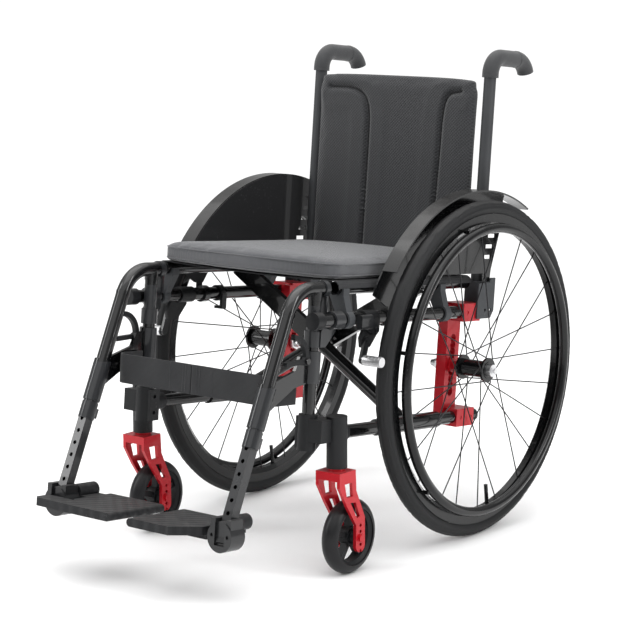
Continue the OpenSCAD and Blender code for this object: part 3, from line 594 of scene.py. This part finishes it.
# %% The sling
rail_low, rail_high = leaning_box("seat_sling")
rail_axis_z = rail_low.z - 0.0113
rail_radius, webbing_thickness = 0.011, 0.0016
above_rail, sag_depth = 0.0013, 0.0035
rail_x = rail_high.x - rail_radius
sheet_length = rail_high.y - rail_low.y
wrap = rail_radius * math.pi / 2
sheet_width = 2 * (rail_x + wrap)
bpy.ops.mesh.primitive_grid_add(x_subdivisions=80, y_subdivisions=40, size=1)
sling = named("seat_webbing")
points = points_of(sling)
run = points[:, 0] * sheet_width
over = np.maximum(np.abs(run) - rail_x, 0) / rail_radius
radius = rail_radius + above_rail
flat = np.minimum(np.abs(run), rail_x)
points[:, 1] = (rail_low.y + rail_high.y) / 2 + points[:, 1] * sheet_length
sag = sag_depth * np.cos(run / rail_x * math.pi / 2).clip(0, 1)
points[:, 2] = rail_axis_z + radius * np.cos(over) - sag
points[:, 0] = np.sign(run) * (flat + radius * np.sin(over))
put_points(sling, points)
thick = sling.modifiers.new("Thickness", "SOLIDIFY")
thick.thickness, thick.offset = webbing_thickness, 0
apply_modifiers(sling)

# %% [markdown]
# ## The back upholstery
# A padded panel between the canes, in black spacer mesh. Two curved seams part the middle from the side
# pads: each starts near the top corner, turns down in a bend, and runs to the seat. The seams pull the
# cover in, so the mesh is drawn in along them and a fine welt lies in each groove.

# %% The back panel
back_low, back_high = leaning_box("back_upholstery")
shell = 0.0025
panel = box("back_panel", (back_low.x + shell, back_low.y + shell, back_low.z + shell),
            (back_high.x - shell, back_high.y - shell, back_high.z - shell), cuts=12)
points = points_of(panel)
step_x, step_z = 0.0065, back_high.z - 0.012
high_up = smooth_steps(points[:, 2], step_z, step_z + 0.008)
points[:, 0] *= 1 - high_up * step_x / back_high.x
corner_lift = 0.006 * (points[:, 0] / back_high.x) ** 4 * smooth_steps(points[:, 2], 0.45, 0.52)
points[:, 2] -= corner_lift
put_points(panel, points)
puff(panel, 0.005, 4.0, 0.005)
subdivision = panel.modifiers.new("Smooth", "SUBSURF")
subdivision.levels = subdivision.render_levels = 1
apply_modifiers(panel)


# %% Grooves along the seams
def bend_line(corners, steps=14):
    """A smooth line through a few corners, by halving towards the middle of each side."""
    line = [np.array(c, float) for c in corners]
    for _ in range(3):
        finer = [line[0]]
        for a, b in zip(line, line[1:]):
            finer += [a * 0.75 + b * 0.25, a * 0.25 + b * 0.75]
        line = finer + [line[-1]]
    return np.array(line)


back_base = back_low.z + 0.004
seam_corners = [(-0.146, 0.487), (-0.086, 0.488), (-0.056, 0.462), (-0.054, 0.38), (-0.055, back_base)]
seams = [bend_line(seam_corners),
         bend_line([(0.146, 0.489), (0.118, 0.484), (0.108, 0.452), (0.107, 0.38), (0.1, back_base)])]
points = points_of(panel)
facing = 1 - smooth_steps(points[:, 1], back_low.y + 0.004, back_low.y + 0.012)
groove_depth, groove_width, pad_rise = 0.0065, 0.005, 0.003
look_around, usual_depth, cord_width = 0.006, 0.003, 0.0018
for line in seams:
    sample = np.concatenate([a + (b - a) * np.linspace(0, 1, 4)[:, None] for a, b in zip(line, line[1:])])
    apart = np.min(np.hypot(points[:, 0, None] - sample[None, :, 0],
                            points[:, 2, None] - sample[None, :, 1]), axis=1)
    points[:, 1] += facing * groove_depth * np.exp(-(apart / groove_width) ** 2)
    points[:, 1] -= facing * pad_rise * np.exp(-((apart - 0.022) / 0.016) ** 2)
points[:, 1] = np.maximum(points[:, 1], back_low.y - 0.004)
put_points(panel, points)
for name, line in zip(("back_seam_right", "back_seam_left"), seams):
    floors = []
    for x, z in line:
        near = (np.hypot(points[:, 0] - x, points[:, 2] - z) < look_around) & (facing > 0.5)
        floors.append(points[near, 1].mean() if near.any() else back_low.y + usual_depth)
    welts.append(tube(name, [(x, y, z) for (x, z), y in zip(line, floors)], cord_width, 2))

# %% [markdown]
# ## The cloths
# The pad has a smooth grey cover, the back a black spacer mesh whose small holes run on the slant, and the
# sling and the strap are black webbing. Each is one finish with its own lattice of threads or holes.

# %% Cloth materials
SEAT_GREY, MESH_BLACK = (0.068, 0.07, 0.076), (0.017, 0.018, 0.0205)
# Each cloth's lattice darkens its holes or the gaps between its threads, as painted shade.
cover = finish("seat_cover", SEAT_GREY, 0.28, sheen=0.35, fine=500, bump=0.1, wear=0.0, dirt=0.0,
               shade=0.08, specular=0.35, pattern=lattice(0, 1, 1100.0, 0.12, slant=False, shade_strength=0.12))
spacer = finish("spacer_mesh", MESH_BLACK, 0.35, sheen=0.25, fine=600, bump=0.05, wear=0.0, dirt=0.0,
                shade=0.1, specular=0.4, pattern=lattice(0, 2, 165.0, 0.35, shade_strength=0.85))
webbing = finish("webbing", (0.014, 0.0145, 0.016), 0.3, sheen=0.2, fine=500, bump=0.1, wear=0.0,
                 dirt=0.05, specular=0.2, pattern=lattice(0, 2, 500.0, 0.3, slant=False, shade_strength=0.12))
sling_cloth = finish("sling_cloth", (0.014, 0.0145, 0.016), 0.3, sheen=0.1, wear=0.0, dirt=0.0,
                     pattern=lattice(0, 1, 400.0, 0.3, slant=False, shade_strength=0.3))
piping = finish("piping", (0.006, 0.0062, 0.007), 0.42, sheen=0.1, wear=0.0, dirt=0.0)

# %% Settle, dress and seat the soft pieces
def dress(piece, material, body):
    """Settles a piece, gives it its cloth, and lets it ride on a body."""
    settle(piece)
    piece.data.materials.clear()
    piece.data.materials.append(material)
    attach(piece, body)


for piece, material in ((cushion, cover), (sling, sling_cloth), (panel, spacer), (welts[0], cover),
                        (welts[1], cover), (welts[2], piping), (welts[3], piping)):
    dress(piece, material, "frame_right")
    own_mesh(piece)
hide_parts("seat_cushion")
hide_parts("back_upholstery")
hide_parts("seat_sling")

# %% [markdown]
# ## The calf strap
# A band of heavy webbing spans the two hangers and wraps round to their lugs. It opens in the middle
# when a legrest swings away, so each side is its own half. A strip is drawn out along its path, turned
# round the hanger, thickened, and finished with rows of stitches.

# %% Half a strap
def strap_half(side):
    sign = 1 if side == "left" else -1
    low, high = leaning_box(f"calf_strap_{side}")
    half_thickness = 0.00125
    inner, outer = (low.x, high.x) if sign > 0 else (-high.x, -low.x)
    path_x, path_y = outer - half_thickness, low.y + half_thickness
    radius = 0.022
    bpy.ops.mesh.primitive_plane_add(size=1)
    piece = named(f"calf_band_{side}")
    length = (path_x - radius - inner) + radius * math.pi / 2 + (high.y - path_y - radius)
    bpy.ops.object.mode_set(mode="EDIT")
    bpy.ops.mesh.subdivide(number_cuts=59)
    bpy.ops.object.mode_set(mode="OBJECT")
    points = points_of(piece)
    run = (points[:, 0] + 0.5) * length
    rise = points[:, 1] * (high.z - low.z)
    straight = path_x - radius - inner
    angle = np.clip((run - straight) / radius, 0, math.pi / 2)
    beyond = np.maximum(run - straight - radius * math.pi / 2, 0)
    x = inner + np.minimum(run, straight) + radius * np.sin(angle)
    y = path_y + radius * (1 - np.cos(angle)) + beyond
    ripple = 0.0008 * np.sin(run * 70) * np.sin(rise * 60 + 1)
    slack = 0.0016 * np.cos(np.clip(run / straight, 0, 1) * math.pi / 2)
    z = (low.z + high.z) / 2 + rise
    put_points(piece, np.stack([sign * x, y + ripple + slack, z], 1))
    thick = piece.modifiers.new("Thickness", "SOLIDIFY")
    thick.thickness, thick.offset = 0.0021, 0
    edge = piece.modifiers.new("Edge", "BEVEL")
    edge.width, edge.segments, edge.angle_limit = 0.0004, 2, math.radians(50)
    apply_modifiers(piece)
    return piece, inner, path_y, low.z, high.z, length


# %% Rows of stitches
def stitches(name, start, end, count, size=(0.0028, 0.0006, 0.0006)):
    """A row of short threads from start to end."""
    start, end = Vector(start), Vector(end)
    bpy.ops.mesh.primitive_cube_add(size=1, location=(0, 0, 0))
    piece = named(name)
    piece.scale = size
    bpy.ops.object.transform_apply(location=True, rotation=True, scale=True)
    edge = piece.modifiers.new("Edge", "BEVEL")
    edge.width, edge.segments = 0.0002, 1
    row = piece.modifiers.new("Row", "ARRAY")
    row.count = count
    row.use_relative_offset = False
    row.use_constant_offset = True
    row.constant_offset_displace = ((end - start).length / max(count - 1, 1), 0, 0)
    apply_modifiers(piece)
    piece.matrix_world = (Matrix.Translation(start)
                          @ (end - start).to_track_quat("X", "Z").to_matrix().to_4x4())
    select_only(piece)
    bpy.ops.object.transform_apply(location=True, rotation=True, scale=True)
    return piece


thread = finish("thread", (0.05, 0.051, 0.055), 0.35, sheen=0.2, wear=0.0, dirt=0.0)
lug_x, strap_keep, seam_margin = 0.17, 0.33, 0.004
for side in ("left", "right"):
    sign = 1 if side == "left" else -1
    band, inner, face, bottom, top_edge, length = strap_half(side)
    dress(band, webbing, f"legrest_{side}")
    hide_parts(f"calf_strap_{side}")
    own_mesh(band)
    rows = []
    for number, reach in enumerate((0.012, 0.018, 0.046)):
        rows.append(stitches(f"strap_thread_{side}_{number}",
                             (sign * (inner + reach), face, bottom + seam_margin),
                             (sign * (inner + reach), face, top_edge - seam_margin), 12))
    select_only(*rows)
    bpy.ops.object.join()
    threads_piece = named(f"strap_threads_{side}")
    dress(threads_piece, thread, f"legrest_{side}")
    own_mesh(threads_piece)

# %% [markdown]
# ## The tyres
# A narrow slick-sided tyre with a file tread: slanted grooves cross the crown and the shoulders, and a
# shallow rib runs round each sidewall. The section is spun round the axle in fine steps, and the rubber
# between the grooves stays proud. Cutting the tread into the mesh keeps it when the model is exported.

# %% Spin a tyre
def tread_tyre(side):
    low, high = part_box(f"wheel_tyre_{side}")
    centre_x = (low.x + high.x) / 2
    outer = (high.z - low.z) / 2
    section = (high.x - low.x) / 2
    bead = outer - section
    steps, ring, grooves_round = 576, 44, 144
    tread_depth, rib_height, skin = 0.0009, 0.0006, 0.0002
    bpy.ops.mesh.primitive_torus_add(major_radius=bead, minor_radius=section, major_segments=steps,
                                     minor_segments=ring, location=(0, 0, 0),
                                     rotation=(0, math.pi / 2, 0))
    piece = named(f"tyre_{side}")
    select_only(piece)
    bpy.ops.object.transform_apply(location=True, rotation=True, scale=True)
    points = points_of(piece)
    round_angle = np.arctan2(points[:, 1], points[:, 2])
    radius = np.hypot(points[:, 1], points[:, 2])
    out_by = np.arctan2(points[:, 0], radius - bead)
    shoulder = np.abs(out_by)
    crown = 1 - smooth_steps(shoulder, 1.05, 1.25)
    grooves = np.sin(round_angle * grooves_round + 9 * shoulder) > 0.35
    lines = (np.abs(shoulder - 0.42) < 0.09) | (np.abs(shoulder - 0.95) < 0.06)
    cut = tread_depth * crown * np.maximum(grooves * (shoulder > 0.2), lines)
    rib = rib_height * (np.abs(shoulder - 1.5) < 0.08)
    depth = cut + skin - rib
    direction = np.stack([np.sin(out_by), np.cos(out_by)], 1)
    points[:, 0] -= direction[:, 0] * depth
    new_radius = np.maximum(radius - direction[:, 1] * depth, bead - 0.0082)
    points[:, 1] *= new_radius / radius
    points[:, 2] *= new_radius / radius
    points += np.array([centre_x, axle.y, axle.z])
    put_points(piece, points)
    settle(piece, leans=False)
    return piece


sidewall = finish("tyre_rubber", (0.0085, 0.0088, 0.0095), 0.5, fine=900, bump=0.2, wear=0.12,
                  worn=(0.07, 0.07, 0.07), dirt=0.1)
for side in ("left", "right"):
    tyre = tread_tyre(side)
    tyre.data.materials.clear()
    tyre.data.materials.append(sidewall)
    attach(tyre, f"wheel_{side}")
    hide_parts(f"wheel_tyre_{side}")

# %% [markdown]
# ## Floor, light and camera
# A pale floor without edges. One large soft light hangs overhead, and two tall narrow ones stand to the
# left and the right, so the tubes get long highlights. A very wide sun fills in between them and keeps the
# shadows faint. The lens is long, so the chair looks calm.

# %% Floor
bpy.ops.mesh.primitive_circle_add(vertices=96, radius=70, fill_type="NGON", location=(0, 0, -0.0005))
floor = named("floor")
paper = bpy.data.materials.new("paper_white")
paper.use_nodes = True
paper.node_tree.nodes["Principled BSDF"].inputs["Base Color"].default_value = (0.93, 0.93, 0.93, 1)
paper.node_tree.nodes["Principled BSDF"].inputs["Roughness"].default_value = 0.9
paper.node_tree.nodes["Principled BSDF"].inputs["Specular IOR Level"].default_value = 0.1
floor.data.materials.append(paper)

# %% Light
world = bpy.data.worlds.new("studio") if bpy.context.scene.world is None else bpy.context.scene.world
bpy.context.scene.world = world
world.use_nodes = True
world.node_tree.nodes["Background"].inputs["Color"].default_value = (1, 1, 1, 1)
world.node_tree.nodes["Background"].inputs["Strength"].default_value = 0.42


def soft_light(name, place, size, power):
    light = bpy.data.lights.new(name, "AREA")
    light.shape = "RECTANGLE"
    light.size, light.size_y = size
    light.energy = power
    lamp = bpy.data.objects.new(name, light)
    bpy.context.collection.objects.link(lamp)
    lamp.location = place
    aim = Vector((0, 0, 0.4)) - Vector(place)
    lamp.rotation_euler = aim.to_track_quat("-Z", "Y").to_euler()
    return lamp


soft_light("overhead", (0.2, -0.3, 2.9), (2.8, 2.8), 40)
soft_light("left_front", (-2.1, -2.2, 1.9), (0.5, 2.4), 34)
soft_light("right_side", (2.8, 0.3, 1.6), (0.4, 2.2), 26)
sky = bpy.data.lights.new("daylight", "SUN")
sky.energy, sky.angle = 2.4, math.radians(110)
daylight = bpy.data.objects.new("daylight", sky)
bpy.context.collection.objects.link(daylight)
daylight.rotation_euler = (math.radians(6), math.radians(8), 0)

# %% Camera
camera_data = bpy.data.cameras.new("camera")
camera = bpy.data.objects.new("camera", camera_data)
bpy.context.collection.objects.link(camera)
turn_round, look_down = math.radians(38.086), math.radians(9.651)
backwards = Vector((math.sin(turn_round) * math.cos(look_down),
                    -math.cos(turn_round) * math.cos(look_down), math.sin(look_down)))
camera.location = (2.2771, axle.y - 3.0862, 1.0273)
camera.rotation_mode = "QUATERNION"
camera.rotation_quaternion = (-backwards).to_track_quat("-Z", "Y")
camera_data.sensor_width = 36
camera_data.lens = 120.29
camera_data.shift_x, camera_data.shift_y = 0.0168, -0.0048
bpy.context.scene.camera = camera
bpy.context.scene.view_settings.view_transform = "Standard"
bpy.context.scene.view_settings.look = "None"
